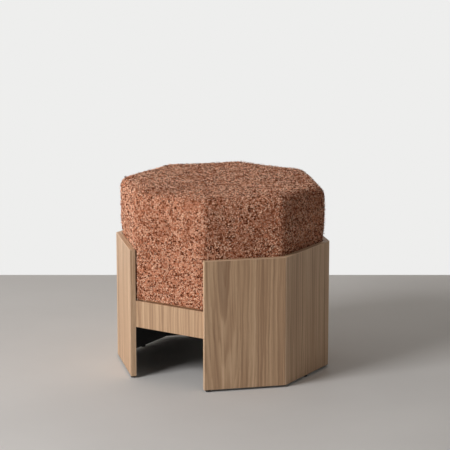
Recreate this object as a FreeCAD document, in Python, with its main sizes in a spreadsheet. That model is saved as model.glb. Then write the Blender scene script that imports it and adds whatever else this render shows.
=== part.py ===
"""Octagonal upholstered pouf.

Two open shells, each of three mitred veneered panels, stand opposite each other with a gap between
them at the front and at the back.  A rail crosses each gap half way up.  Cleats inside the panels and
the tops of the rails carry the seat, which is bolted down from below: a plywood board, two grades of
foam, a fibre wrap and a sewn cover of eight sides and a crowned top.

The origin is on the floor under the middle of the seat.  +Z is up and the gaps face -Y and +Y.
"""
import FreeCAD, Part
import math
import os

import Sketcher

# Driving sizes, in millimetres
SIZES = {
    # wooden shells
    "across_flats": 480,
    "panel_thickness": 13,
    "panel_top": 311,
    "band_thickness": 1,
    "arris_radius": 0.6,
    # loose plywood splines: in the mitres, and in the ends of the rails
    "spline_thickness": 4,
    "spline_width": 12,
    "spline_stop": 30,
    "rail_spline_height": 44,
    "rail_spline_in_panel": 6,
    "rail_spline_in_rail": 10,
    "rail_spline_from_arris": 8,
    # rails across the gaps
    "rail_top": 189,
    "rail_height": 63.5,
    "rail_thickness": 18,
    # cleats and their hexagon-head screws
    "cleat_width": 28,
    "cleat_height": 22,
    "screw_spacing": 90,
    "screw_diameter": 3.5,
    "screw_head_width": 7,
    "screw_head_height": 2.5,
    "screw_in_panel": 8,
    # connector bolts that hold the seat down, and their threaded inserts
    "bolt_from_panel": 14,
    "bolt_diameter": 6,
    "bolt_head_diameter": 16,
    "bolt_head_height": 2.5,
    "bolt_socket_width": 4,
    "bolt_socket_depth": 1.8,
    "insert_diameter": 10,
    "insert_length": 13,
    # seat
    "seat_height": 452.5,
    "crown": 2.5,
    "crown_border": 6,
    "fullness": 3,
    "shoulder_radius": 23,
    "seam_drop": 4,
    "corner_radius": 28,
    "least_corner_radius": 1,
    "base_radius": 6,
    "cover_thickness": 3,
    "fibre_thickness": 8,
    "topper_thickness": 40,
    "board_thickness": 15,
    "hem_past_cleat": 8,
    # dust cover under the seat
    "dust_cover_thickness": 0.6,
    "dust_cover_margin": 2,
    # floor glides, each moulded with the six-sided stem that holds it
    "glide_height": 5,
    "glide_diameter": 12,
    "glide_chamfer": 1,
    "glide_from_end": 10,
    "glide_stem_width": 4,
    "glide_stem_length": 14,
    # clearances
    "glue_clearance": 0.1,
    "bore_clearance": 0.2,
    "seat_clearance": 0.4,
    "tool_overrun": 1,
}

# Steps of the cushion's curves, and how far round a sine wave its swell goes, in degrees
BASE_STEPS = 2
SWELL_STEPS = 4
SWELL_TURN = 120
SHOULDER_STEPS = 4

# Places worked out from the driving sizes
LAYOUT = {
    "outer_apothem": "Sizes.across_flats / 2",
    "inner_apothem": "outer_apothem - Sizes.panel_thickness",
    "middle_apothem": "outer_apothem - Sizes.panel_thickness / 2",
    "outer_half_side": "outer_apothem * tan(22.5 deg)",
    "inner_half_side": "inner_apothem * tan(22.5 deg)",
    "core_top": "Sizes.panel_top - Sizes.band_thickness",
    "core_half_side": "inner_half_side - Sizes.band_thickness",
    "edge_radius": "min(Sizes.arris_radius; Sizes.band_thickness * 0.8)",
    "spline_radius": "(middle_apothem - Sizes.spline_width / 4 * sin(22.5 deg)) / cos(22.5 deg)",
    "spline_top": "core_top - Sizes.spline_stop",
    "rail_bottom": "Sizes.rail_top - Sizes.rail_height",
    "rail_middle": "Sizes.rail_top - Sizes.rail_height / 2",
    "rail_end_length": "Sizes.rail_thickness * sqrt(2)",
    "rail_spline_place": "inner_half_side - Sizes.rail_spline_from_arris",
    "cleat_inner": "inner_apothem - Sizes.cleat_width",
    "cleat_bottom": "Sizes.rail_top - Sizes.cleat_height",
    "cleat_middle": "Sizes.rail_top - Sizes.cleat_height / 2",
    "bolt_apothem": "inner_apothem - Sizes.bolt_from_panel",
    "bolt_head_bottom": "cleat_bottom - Sizes.bolt_head_height",
    "board_bottom": "Sizes.rail_top + Sizes.cover_thickness",
    "board_top": "board_bottom + Sizes.board_thickness",
    "insert_top": "board_bottom + Sizes.insert_length",
    "cushion_apothem": "inner_apothem - Sizes.seat_clearance",
    "foam_inset": "Sizes.cover_thickness + Sizes.fibre_thickness",
    "foam_apothem": "cushion_apothem - foam_inset",
    "rim_height": "Sizes.seat_height - Sizes.crown",
    "shoulder_height": "rim_height - Sizes.shoulder_radius",
    "seam_height": "shoulder_height - Sizes.seam_drop",
    "shoulder_fullness": f"Sizes.fullness * sin({SWELL_TURN} deg)",
    "rim_apothem": "cushion_apothem + shoulder_fullness - Sizes.shoulder_radius",
    "crown_apothem": "rim_apothem - Sizes.crown_border",
    "crown_curve": "(crown_apothem^2 + Sizes.crown^2) / (2 * Sizes.crown)",
    "foam_top": "rim_height - foam_inset",
    "foam_bevel": "max(Sizes.shoulder_radius - foam_inset; 1)",
    "topper_bottom": "foam_top - Sizes.topper_thickness",
    "hem_apothem": "cleat_inner - Sizes.hem_past_cleat",
    "dust_cover_apothem": "cleat_inner - Sizes.dust_cover_margin",
    "glide_place": "inner_half_side - Sizes.glide_from_end",
    "glide_stem_radius": "Sizes.glide_stem_width / 2 / cos(30 deg)",
}

# The sides of the octagon, as angles about Z from the front, and which end of a panel is free:
# -1 and 1 for its left and right end seen from outside, 0 where both ends are mitred
PANEL_ANGLES = {
    "right_front": 45,
    "right_side": 90,
    "right_rear": 135,
    "left_rear": 225,
    "left_side": 270,
    "left_front": 315,
}
FREE_END_SIGNS = {
    "right_front": -1,
    "right_side": 0,
    "right_rear": 1,
    "left_rear": -1,
    "left_side": 0,
    "left_front": 1,
}
RAIL_ANGLES = {"front": 0, "rear": 180}
SIDES_OF_OCTAGON = 8
SIDES_OF_HEXAGON = 6

TOLERANCE = 1e-4

doc = FreeCAD.newDocument("pouf")
subparts = []


def make_sheet(name, cells):
    """Write named cells into a new sheet and return it."""
    sheet = doc.addObject("Spreadsheet::Sheet", name)
    for row, (alias, content) in enumerate(cells.items(), 1):
        sheet.set(f"A{row}", alias)
        sheet.set(f"B{row}", content)
        sheet.setAlias(f"B{row}", alias)
    doc.recompute()
    return sheet


sizes = make_sheet("Sizes", {alias: str(number) for alias, number in SIZES.items()})
layout = make_sheet("Layout", {alias: f"={formula}" for alias, formula in LAYOUT.items()})


def value(text):
    """The number that an expression on the sheets gives."""
    return float(layout.evalExpression(text))


def spun(x, y, angle):
    """Expressions for a point turned about Z by an angle in degrees."""
    cosine, sine = f"cos({angle} deg)", f"sin({angle} deg)"
    return f"({x}) * {cosine} - ({y}) * {sine}", f"({x}) * {sine} + ({y}) * {cosine}"


def new_body(name, angle=0):
    """An empty body, turned about Z to the side of the octagon where it belongs."""
    body = doc.addObject("PartDesign::Body", name)
    body.AllowCompound = True
    body.Placement = FreeCAD.Placement(FreeCAD.Vector(), FreeCAD.Rotation(FreeCAD.Vector(0, 0, 1), angle))
    return body


def keep(piece, label):
    """Name a finished sub-part and put it on the list of what is written."""
    piece.Label = label
    subparts.append(piece)
    return piece


def add_sketch(body, name, offset, plane="XY_Plane"):
    """A sketch parallel to one of the body's own planes, at an offset along that plane's normal."""
    sketch = body.newObject("Sketcher::SketchObject", name)
    sketch.AttachmentSupport = [(next(f for f in body.Origin.OriginFeatures if f.Role == plane), "")]
    sketch.MapMode = "FlatFace"
    sketch.setExpression("AttachmentOffset.Base.z", offset)
    return sketch


def pin(sketch, geometry, vertex, x, y):
    """Hold a vertex of a sketch at a place given by two expressions."""
    for axis, text in (("X", x), ("Y", y)):
        rule = Sketcher.Constraint(f"Distance{axis}", -1, 1, geometry, vertex, value(text))
        name = f"{axis.lower()}{geometry}_{vertex}"
        sketch.renameConstraint(sketch.addConstraint(rule), name)
        sketch.setExpression(f"Constraints.{name}", text)


def set_radius(sketch, geometry, text):
    """Give an arc or circle of a sketch its radius."""
    name = f"radius{geometry}"
    sketch.renameConstraint(sketch.addConstraint(Sketcher.Constraint("Radius", geometry, value(text))), name)
    sketch.setExpression(f"Constraints.{name}", text)


def add_line(sketch, start, end):
    """Draw a line between two places given by expressions and return its index."""
    points = [FreeCAD.Vector(value(x), value(y), 0) for x, y in (start, end)]
    return sketch.addGeometry(Part.LineSegment(*points), False)


def outline(sketch, corners):
    """Draw a closed outline of straight lines through corners given by expressions."""
    next_corners = corners[1:] + corners[:1]
    lines = [add_line(sketch, start, end) for start, end in zip(corners, next_corners)]
    for index, corner in enumerate(corners):
        sketch.addConstraint(Sketcher.Constraint("Coincident", lines[index - 1], 2, lines[index], 1))
        pin(sketch, lines[index], 1, *corner)


def circles(sketch, centres, radius):
    """Draw equal circles round centres given by expressions."""
    normal = FreeCAD.Vector(0, 0, 1)
    for x, y in centres:
        centre = FreeCAD.Vector(value(x), value(y), 0)
        index = sketch.addGeometry(Part.Circle(centre, normal, value(radius)), False)
        pin(sketch, index, 3, x, y)
        set_radius(sketch, index, radius)


def rectangle(x, half_x, y, half_y):
    """Corners of a rectangle about a centre."""
    return [(f"{x} {a} {half_x}", f"{y} {b} {half_y}") for a, b in ("--", "+-", "++", "-+")]


def octagon(apothem):
    """Corners of an octagon that has a side facing -Y."""
    return [
        spun(f"({apothem}) * tan(22.5 deg)", f"-({apothem})", 45 * turn)
        for turn in range(SIDES_OF_OCTAGON)
    ]


def hexagons(sketch, centres, width):
    """Draw equal hexagons, of a width across flats, round centres given by expressions."""
    corners = [spun(f"({width}) / 2 / cos(30 deg)", "0", 60 * turn) for turn in range(SIDES_OF_HEXAGON)]
    for x, y in centres:
        outline(sketch, [(f"{x} + {along}", f"{y} + {across}") for along, across in corners])


def sawn_octagon(apothem, radius):
    """Corners of an octagon whose own corners are sawn off between the ends of arcs of a radius."""
    half = f"(({apothem}) - ({radius})) * tan(22.5 deg)"
    return [
        spun(sign + half, f"-({apothem})", 45 * turn)
        for turn in range(SIDES_OF_OCTAGON)
        for sign in ("-", "")
    ]


def rounded_octagon(sketch, apothem, radius):
    """Draw an octagon whose corners are arcs."""
    ends = sawn_octagon(apothem, radius)
    arc_centres = octagon(f"({apothem}) - ({radius})")
    normal = FreeCAD.Vector(0, 0, 1)
    for turn in range(SIDES_OF_OCTAGON):
        line = add_line(sketch, *ends[2 * turn : 2 * turn + 2])
        for vertex in (1, 2):
            pin(sketch, line, vertex, *ends[2 * turn + vertex - 1])
    for turn in range(SIDES_OF_OCTAGON):
        centre = FreeCAD.Vector(*(value(text) for text in arc_centres[turn]), 0)
        start = math.radians(45 * turn - 90)
        circle = Part.Circle(centre, normal, value(radius))
        arc = sketch.addGeometry(Part.ArcOfCircle(circle, start, start + math.radians(45)), False)
        sketch.addConstraint(Sketcher.Constraint("Coincident", turn, 2, arc, 1))
        sketch.addConstraint(Sketcher.Constraint("Coincident", arc, 2, (turn + 1) % SIDES_OF_OCTAGON, 1))
        set_radius(sketch, arc, radius)


def pad(body, sketch, length, reverse=False):
    """Add material over a sketch."""
    feature = body.newObject("PartDesign::Pad", f"{sketch.Name}_pad")
    feature.Profile = sketch
    feature.Reversed = reverse
    feature.setExpression("Length", length)
    return feature


def pocket(body, sketch, depth, reverse=False):
    """Cut material away against a sketch's normal, or along it when reversed."""
    feature = body.newObject("PartDesign::Pocket", f"{sketch.Name}_cut")
    feature.Profile = sketch
    feature.Reversed = reverse
    feature.setExpression("Length", depth)
    return feature


def loft(body, name, sections):
    """Add material ruled from section to section."""
    doc.recompute()
    feature = body.newObject("PartDesign::AdditiveLoft", name)
    feature.Profile = sections[0]
    feature.Sections = sections[1:]
    feature.Ruled = True
    doc.recompute()
    return feature


def ease(body, kind, size, tests):
    """Fillet or chamfer the edges whose end points all pass one of the tests."""
    doc.recompute()
    base = body.Tip
    edges = [
        f"Edge{number}"
        for number, edge in enumerate(base.Shape.Edges, 1)
        if any(all(test(vertex.Point) for vertex in edge.Vertexes) for test in tests)
    ]
    feature = body.newObject(f"PartDesign::{kind}", f"{body.Name}_{kind.lower()}")
    feature.Base = (base, edges)
    feature.setExpression("Radius" if kind == "Fillet" else "Size", size)
    return feature


def near(number, text):
    """Whether a coordinate lies where an expression says."""
    return abs(number - value(text)) < TOLERANCE


def boolean(kind, name, base, tool):
    """A cut or common part of two objects."""
    feature = doc.addObject(f"Part::{kind}", name)
    feature.Base = base
    feature.Tool = tool
    return feature


def compound(label, pieces):
    """A group of like solids that share one node."""
    group = doc.addObject("Part::Compound", label)
    group.Links = pieces
    return keep(group, label)


def panel_corners(free_end, free_half_side):
    """Plan of a panel that faces -Y: mitred at both ends, or square at its free end."""
    corners = []
    for side in (-1, 1):
        outer, inner = "Layout.outer_half_side", "Layout.inner_half_side"
        if side == free_end:
            outer = inner = free_half_side
        outside = (f"{side} * {outer}", "-Layout.outer_apothem")
        inside = (f"{side} * {inner}", "-Layout.inner_apothem")
        corners += [inside, outside] if side == -1 else [outside, inside]
    return corners


def spline_corners(side, clearance):
    """Plan of the slip of plywood that crosses the mitre at one end of a panel that faces -Y."""
    half_thickness = f"(Sizes.spline_thickness / 2 + {clearance})"
    half_width = f"(Sizes.spline_width / 2 + {clearance})"
    corners = []
    for along, across in (("-", "-"), ("", "-"), ("", ""), ("-", "")):
        reach = f"(Layout.spline_radius {across or '+'} {half_thickness})"
        x = f"{side} * ({reach} * sin(22.5 deg) + {along}{half_width} * cos(22.5 deg))"
        y = f"-{reach} * cos(22.5 deg) + {along}{half_width} * sin(22.5 deg)"
        corners.append((x, y))
    return corners


def rail_spline_corners(free_end, clearance):
    """Section of the slip of plywood in a rail end, on the inner face of the panel that takes it."""
    half_thickness = f"(Sizes.spline_thickness / 2 + {clearance})"
    half_height = f"(Sizes.rail_spline_height / 2 + {clearance})"
    place = f"{free_end} * Layout.rail_spline_place"
    return rectangle(place, half_thickness, "Layout.rail_middle", half_height)


def screw_centres():
    """Places of a cleat's two screws, on the inner face of its panel."""
    return [(f"{side} * Sizes.screw_spacing / 2", "Layout.cleat_middle") for side in (-1, 1)]


def glide_centre(free_end):
    """Place of a panel's floor glide: at the middle of a side panel, and near the free end of the others."""
    return f"{free_end} * Layout.glide_place", "-Layout.middle_apothem"


def shell_panel(stem, angle, free_end):
    """A veneered panel with its spline grooves, screw holes and glide hole."""
    body = new_body(f"{stem}_panel", angle)
    plan = add_sketch(body, "plan", "Sizes.glide_height")
    outline(plan, panel_corners(free_end, "Layout.core_half_side"))
    pad(body, plan, "Layout.core_top - Sizes.glide_height")
    for side in {-1, 1} - {free_end}:
        groove = add_sketch(body, "groove", "Sizes.glide_height")
        outline(groove, spline_corners(side, "Sizes.glue_clearance"))
        pocket(body, groove, "Layout.spline_top - Sizes.glide_height", reverse=True)
    if free_end:
        slot = add_sketch(body, "rail_slot", "Layout.inner_apothem", "XZ_Plane")
        outline(slot, rail_spline_corners(free_end, "Sizes.glue_clearance"))
        pocket(body, slot, "Sizes.rail_spline_in_panel + Sizes.bore_clearance", reverse=True)
    pilots = add_sketch(body, "screw_pilots", "Layout.inner_apothem", "XZ_Plane")
    circles(pilots, screw_centres(), "Sizes.screw_diameter / 2 + Sizes.glue_clearance")
    pocket(body, pilots, "Sizes.screw_in_panel + Sizes.bore_clearance", reverse=True)
    glide_hole = add_sketch(body, "glide_hole", "Sizes.glide_height")
    circles(glide_hole, [glide_centre(free_end)], "Layout.glide_stem_radius + Sizes.glue_clearance")
    pocket(body, glide_hole, "Sizes.glide_stem_length + Sizes.bore_clearance", reverse=True)
    return keep(body, f"{stem}_panel")


def top_band(stem, angle, free_end):
    """The strip of veneer on a panel's top edge, with eased arrises."""
    body = new_body(f"{stem}_top_band", angle)
    plan = add_sketch(body, "plan", "Layout.core_top")
    outline(plan, panel_corners(free_end, "Layout.inner_half_side"))
    pad(body, plan, "Sizes.band_thickness")
    tests = [
        lambda point: near(point.z, "Sizes.panel_top") and near(-point.y, "Layout.outer_apothem"),
        lambda point: near(point.z, "Sizes.panel_top") and near(-point.y, "Layout.inner_apothem"),
    ]
    ease(body, "Fillet", "Layout.edge_radius", tests)
    return keep(body, f"{stem}_top_band")


def end_band(stem, angle, free_end):
    """The strip of veneer on a panel's free end, with eased arrises."""
    body = new_body(f"{stem}_end_band", angle)
    plan = add_sketch(body, "plan", "Sizes.glide_height")
    reach = [f"{free_end} * Layout.core_half_side", f"{free_end} * Layout.inner_half_side"]
    faces = ["-Layout.outer_apothem", "-Layout.inner_apothem"]
    outline(plan, [(reach[0], faces[0]), (reach[1], faces[0]), (reach[1], faces[1]), (reach[0], faces[1])])
    pad(body, plan, "Layout.core_top - Sizes.glide_height")
    tests = [
        lambda point, face=face: near(abs(point.x), "Layout.inner_half_side") and near(point.y, face)
        for face in faces
    ]
    ease(body, "Fillet", "Layout.edge_radius", tests)
    return keep(body, f"{stem}_end_band")


def mitre_spline(label, angle, side):
    """The slip of plywood glued across one mitre."""
    body = new_body(label, angle)
    plan = add_sketch(body, "plan", "Sizes.glide_height")
    outline(plan, spline_corners(side, "0"))
    pad(body, plan, "Layout.spline_top - Sizes.glide_height - Sizes.bore_clearance")
    return keep(body, label)


def rail(stem, angle):
    """A rail whose bevelled ends sit on the inner faces of the panels beside the gap."""
    body = new_body(f"{stem}_rail", angle)
    plan = add_sketch(body, "plan", "Layout.rail_bottom")
    outer, outer_face = "Layout.inner_half_side", "-Layout.inner_apothem"
    inner, inner_face = f"({outer} + Sizes.rail_thickness)", f"({outer_face} + Sizes.rail_thickness)"
    outside = [(f"-{outer}", outer_face), (outer, outer_face)]
    inside = [(inner, inner_face), (f"-{inner}", inner_face)]
    outline(plan, outside + inside)
    pad(body, plan, "Sizes.rail_height")
    for side in (-1, 1):
        slot = add_sketch(body, "slot", "Layout.inner_apothem * cos(45 deg)", "XZ_Plane")
        slot.AttachmentOffset = FreeCAD.Placement(
            FreeCAD.Vector(), FreeCAD.Rotation(FreeCAD.Vector(0, 1, 0), 45 * side)
        )
        slot.setExpression("AttachmentOffset.Base.x", f"{side} * Layout.inner_apothem * sin(45 deg)")
        outline(slot, rail_spline_corners(-side, "Sizes.glue_clearance"))
        pocket(body, slot, "Sizes.rail_spline_in_rail + Sizes.bore_clearance")
    return keep(body, f"{stem}_rail")


def rail_splines(stem, angle):
    """The slips of plywood that hold both ends of a rail to the panels."""
    ends = []
    for side in (-1, 1):
        body = new_body(f"{stem}_rail_spline", angle + 45 * side)
        section = add_sketch(body, "section", "Layout.inner_apothem - Sizes.rail_spline_in_rail", "XZ_Plane")
        outline(section, rail_spline_corners(-side, "0"))
        pad(body, section, "Sizes.rail_spline_in_rail + Sizes.rail_spline_in_panel")
        ends.append(body)
    return compound(f"{stem}_rail_splines", ends)


def cleat(stem, angle, free_end):
    """A batten screwed to a panel, mitred to its neighbour or bevelled to sit behind a rail."""
    body = new_body(f"{stem}_cleat", angle)
    plan = add_sketch(body, "plan", "Layout.cleat_bottom")
    corners = []
    for side in (-1, 1):
        outer, inner = "Layout.inner_half_side", "Layout.cleat_inner * tan(22.5 deg)"
        if side == free_end:
            outer = "(Layout.inner_half_side - Layout.rail_end_length)"
            inner = f"({outer} + Sizes.cleat_width)"
        at_panel = (f"{side} * {outer}", "-Layout.inner_apothem")
        at_face = (f"{side} * {inner}", "-Layout.cleat_inner")
        corners += [at_face, at_panel] if side == -1 else [at_panel, at_face]
    outline(plan, corners)
    pad(body, plan, "Sizes.cleat_height")
    if free_end:
        bolt_hole = add_sketch(body, "bolt_hole", "Sizes.rail_top")
        circles(bolt_hole, [("0", "-Layout.bolt_apothem")], "Sizes.bolt_diameter / 2 + Sizes.bore_clearance")
        pocket(body, bolt_hole, "Sizes.cleat_height")
    screw_holes = add_sketch(body, "screw_holes", "Layout.cleat_inner", "XZ_Plane")
    circles(screw_holes, screw_centres(), "Sizes.screw_diameter / 2 + Sizes.glue_clearance")
    pocket(body, screw_holes, "Sizes.cleat_width", reverse=True)
    return keep(body, f"{stem}_cleat")


def cleat_screw_pair(stem, angle):
    """The two hexagon-head screws that hold a cleat to its panel."""
    body = new_body(f"{stem}_cleat_screw_pair", angle)
    heads = add_sketch(body, "heads", "Layout.cleat_inner - Sizes.screw_head_height", "XZ_Plane")
    hexagons(heads, screw_centres(), "Sizes.screw_head_width")
    pad(body, heads, "Sizes.screw_head_height")
    shanks = add_sketch(body, "shanks", "Layout.cleat_inner", "XZ_Plane")
    circles(shanks, screw_centres(), "Sizes.screw_diameter / 2")
    pad(body, shanks, "Sizes.cleat_width + Sizes.screw_in_panel")
    return body


def bolt_centres():
    """Places of the seat bolts: one through the middle of each cleat beside a gap."""
    return [
        spun("0", "-Layout.bolt_apothem", angle)
        for stem, angle in PANEL_ANGLES.items()
        if FREE_END_SIGNS[stem]
    ]


def seat_bolts():
    """Connector bolts with wide flat heads and hexagon sockets."""
    body = new_body("seat_bolts")
    heads = add_sketch(body, "heads", "Layout.bolt_head_bottom")
    circles(heads, bolt_centres(), "Sizes.bolt_head_diameter / 2")
    pad(body, heads, "Sizes.bolt_head_height")
    shanks = add_sketch(body, "shanks", "Layout.cleat_bottom")
    circles(shanks, bolt_centres(), "Sizes.bolt_diameter / 2")
    pad(body, shanks, "Layout.insert_top - Layout.cleat_bottom")
    sockets = add_sketch(body, "sockets", "Layout.bolt_head_bottom")
    hexagons(sockets, bolt_centres(), "Sizes.bolt_socket_width")
    pocket(body, sockets, "Sizes.bolt_socket_depth", reverse=True)
    return keep(body, "seat_bolts")


def seat_inserts():
    """Threaded sleeves set into the board from below."""
    body = new_body("seat_inserts")
    sleeves = add_sketch(body, "sleeves", "Layout.board_bottom")
    circles(sleeves, bolt_centres(), "Sizes.insert_diameter / 2")
    pad(body, sleeves, "Sizes.insert_length")
    bores = add_sketch(body, "bores", "Layout.insert_top")
    circles(bores, bolt_centres(), "Sizes.bolt_diameter / 2 + Sizes.glue_clearance")
    pocket(body, bores, "Sizes.insert_length")
    return keep(body, "seat_inserts")


def seat_board():
    """The plywood board of the seat, with its corners sawn off and holes for the inserts."""
    body = new_body("seat_board")
    plan = add_sketch(body, "plan", "Layout.board_bottom")
    board_corner = "Sizes.corner_radius - Sizes.cover_thickness"
    outline(plan, sawn_octagon("Layout.cushion_apothem - Sizes.cover_thickness", board_corner))
    pad(body, plan, "Sizes.board_thickness")
    holes = add_sketch(body, "insert_holes", "Layout.board_bottom")
    circles(holes, bolt_centres(), "Sizes.insert_diameter / 2 + Sizes.glue_clearance")
    pocket(body, holes, "Sizes.insert_length + Sizes.bore_clearance", reverse=True)
    return keep(body, "seat_board")


def cushion_profile(depth):
    """Heights and insets of the cushion's sections, a depth below its outside, from base to rim."""
    if depth == "0":
        steps = [90 - 90 / BASE_STEPS * step for step in range(BASE_STEPS + 1)]
        base = [
            (
                f"Sizes.rail_top + Sizes.base_radius * (1 - sin({angle} deg))",
                f"Sizes.base_radius * (1 - cos({angle} deg))",
            )
            for angle in steps
        ]
    else:
        base = [(f"Sizes.rail_top + {depth}", "0")]
    swell = [
        (
            f"Sizes.panel_top + (Layout.seam_height - Sizes.panel_top) * {step} / {SWELL_STEPS}",
            f"-Sizes.fullness * sin({SWELL_TURN * step / SWELL_STEPS} deg)",
        )
        for step in range(SWELL_STEPS + 1)
    ]
    radius = f"(Sizes.shoulder_radius - {depth})"
    shoulder = [
        (
            f"Layout.shoulder_height + {radius} * sin({angle} deg)",
            f"{radius} * (1 - cos({angle} deg)) - Layout.shoulder_fullness",
        )
        for angle in (90 / SHOULDER_STEPS * step for step in range(SHOULDER_STEPS + 1))
    ]
    return base + swell + shoulder


def cushion_form(name, depth):
    """The seat's form, a depth below its outside: straight in the shells, full above them, crowned on top.

    The outside has round corners, and the forms inside it have sawn ones.
    """
    body = new_body(name)
    sections = []
    for height, inset in cushion_profile(depth):
        sketch = add_sketch(body, "section", height)
        apothem = f"Layout.cushion_apothem - {depth} - ({inset})"
        radius = f"max(Sizes.corner_radius - {depth} - ({inset}); Sizes.least_corner_radius)"
        if depth == "0":
            rounded_octagon(sketch, apothem, radius)
        else:
            outline(sketch, sawn_octagon(apothem, radius))
        sections.append(sketch)
    loft(body, "sides", sections)
    barrels = [crown_barrel(f"{name}_barrel", 45 * turn, depth) for turn in range(SIDES_OF_OCTAGON // 2)]
    crown = doc.addObject("Part::MultiCommon", f"{name}_crown")
    crown.Shapes = barrels
    return boolean("Fuse", f"{name}_crowned", body, crown)


def crown_barrel(name, angle, depth):
    """One of the crossed barrels whose common part is the crown, which falls to all eight sides."""
    body = new_body(name, angle)
    profile = add_sketch(body, "profile", "-Layout.outer_apothem", "XZ_Plane")
    rim = f"(Layout.rim_height - {depth})"
    ends = [("-Layout.crown_apothem", rim), ("Layout.crown_apothem", rim)]
    chord = add_line(profile, *ends)
    curve = value("Layout.crown_curve")
    centre = FreeCAD.Vector(0, value(f"{rim} + Sizes.crown") - curve, 0)
    start = math.acos(value("Layout.crown_apothem") / curve)
    circle = Part.Circle(centre, FreeCAD.Vector(0, 0, 1), curve)
    arc = profile.addGeometry(Part.ArcOfCircle(circle, start, math.pi - start), False)
    for vertex, end in enumerate(ends, 1):
        pin(profile, chord, vertex, *end)
        profile.addConstraint(Sketcher.Constraint("Coincident", chord, vertex, arc, 3 - vertex))
    set_radius(profile, arc, "Layout.crown_curve")
    pad(body, profile, "Sizes.across_flats")
    return body


def hem_ways():
    """What is left open in the cover's turned-in hem: the middle, and holes for the bolts."""
    body = new_body("hem_ways")
    depth = "Sizes.cover_thickness + Sizes.tool_overrun"
    opening = add_sketch(body, "opening", "Layout.board_bottom")
    outline(opening, octagon("Layout.hem_apothem"))
    pad(body, opening, depth, reverse=True)
    holes = add_sketch(body, "bolt_holes", "Layout.board_bottom")
    circles(holes, bolt_centres(), "Sizes.bolt_diameter / 2 + Sizes.bore_clearance")
    pad(body, holes, depth, reverse=True)
    return body


def foam_block():
    """The straight-cut foam, bevelled round its top."""
    body = new_body("foam")
    plan = add_sketch(body, "plan", "Layout.board_top")
    outline(plan, octagon("Layout.foam_apothem"))
    pad(body, plan, "Layout.foam_top - Layout.board_top")
    ease(body, "Chamfer", "Layout.foam_bevel", [lambda point: near(point.z, "Layout.foam_top")])
    return body


def slab(name, bottom, top):
    """A block as wide as the pouf between two heights, to part the seat's layers."""
    block = doc.addObject("Part::Box", name)
    for side in ("Length", "Width"):
        block.setExpression(side, "Sizes.across_flats")
    block.setExpression("Height", f"{top} - ({bottom})")
    for axis in ("x", "y"):
        block.setExpression(f"Placement.Base.{axis}", "-Sizes.across_flats / 2")
    block.setExpression("Placement.Base.z", bottom)
    return block


def seat_layers():
    """Foam, fibre wrap and cover: nested forms, parted by level and by side."""
    outer = cushion_form("cover_outside", "0")
    lining = cushion_form("cover_inside", "Sizes.cover_thickness")
    foam = foam_block()

    above_board = slab("above_board", "Layout.board_top", "Sizes.seat_height")
    filling = boolean("Common", "filling", lining, above_board)
    keep(boolean("Cut", "fibre", filling, foam), "fibre_wrap")
    core_level = slab("core_level", "Layout.board_top", "Layout.topper_bottom")
    keep(boolean("Common", "core", foam, core_level), "foam_core")
    topper_level = slab("topper_level", "Layout.topper_bottom", "Sizes.seat_height")
    keep(boolean("Common", "topper", foam, topper_level), "foam_topper")

    skin = boolean("Cut", "skin", outer, lining)
    cover = boolean("Cut", "cover", skin, hem_ways())
    above_seam = slab("above_seam", "Layout.seam_height", "Sizes.seat_height + Sizes.tool_overrun")
    keep(boolean("Common", "cover_top", cover, above_seam), "cover_top_panel")
    for stem, angle in {**RAIL_ANGLES, **PANEL_ANGLES}.items():
        wedge = new_body(f"{stem}_wedge", angle)
        plan = add_sketch(wedge, "plan", "Sizes.rail_top - Sizes.tool_overrun")
        reach = "Layout.outer_half_side"
        outline(plan, [("0", "0"), (f"-{reach}", "-Layout.outer_apothem"), (reach, "-Layout.outer_apothem")])
        pad(wedge, plan, "Layout.seam_height - Sizes.rail_top + Sizes.tool_overrun")
        keep(boolean("Common", f"{stem}_side", cover, wedge), f"cover_{stem}_panel")


def dust_cover():
    """The thin black cloth under the seat, which laps the turned-in hem of the cover."""
    body = new_body("dust_cover")
    plan = add_sketch(body, "plan", "Sizes.rail_top")
    outline(plan, octagon("Layout.dust_cover_apothem"))
    pad(body, plan, "Sizes.dust_cover_thickness", reverse=True)
    return keep(body, "dust_cover")


def floor_glides():
    """The round glides that the pouf stands on, each with a stem pressed into a panel's bottom edge."""
    body = new_body("floor_glides")
    centres = [spun(*glide_centre(FREE_END_SIGNS[stem]), angle) for stem, angle in PANEL_ANGLES.items()]
    discs = add_sketch(body, "discs", "0")
    circles(discs, centres, "Sizes.glide_diameter / 2")
    pad(body, discs, "Sizes.glide_height")
    ease(body, "Chamfer", "Sizes.glide_chamfer", [lambda point: near(point.z, "0")])
    stems = add_sketch(body, "stems", "Sizes.glide_height")
    hexagons(stems, centres, "Sizes.glide_stem_width")
    pad(body, stems, "Sizes.glide_stem_length")
    return keep(body, "floor_glides")


def check_and_write():
    """Stop if anything failed or a cut took nothing away, then write every sub-part."""
    doc.recompute()
    for item in doc.Objects:
        if {"Invalid", "Error"} & set(item.State):
            raise RuntimeError(f"{item.Label} failed: {item.State}")
        if item.TypeId == "PartDesign::Pocket":
            removed = item.BaseFeature.Shape.Volume - item.Shape.Volume
            if removed < TOLERANCE:
                raise RuntimeError(f"{item.Label} cuts nothing")
    for piece in subparts:
        if piece.Shape.isNull() or not piece.Shape.isValid() or not piece.Shape.Solids:
            raise RuntimeError(f"{piece.Label} has no valid solid")
    os.makedirs("parts", exist_ok=True)
    for piece in subparts:
        piece.Shape.exportStep(os.path.join("parts", f"{piece.Label}.step"))


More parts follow.
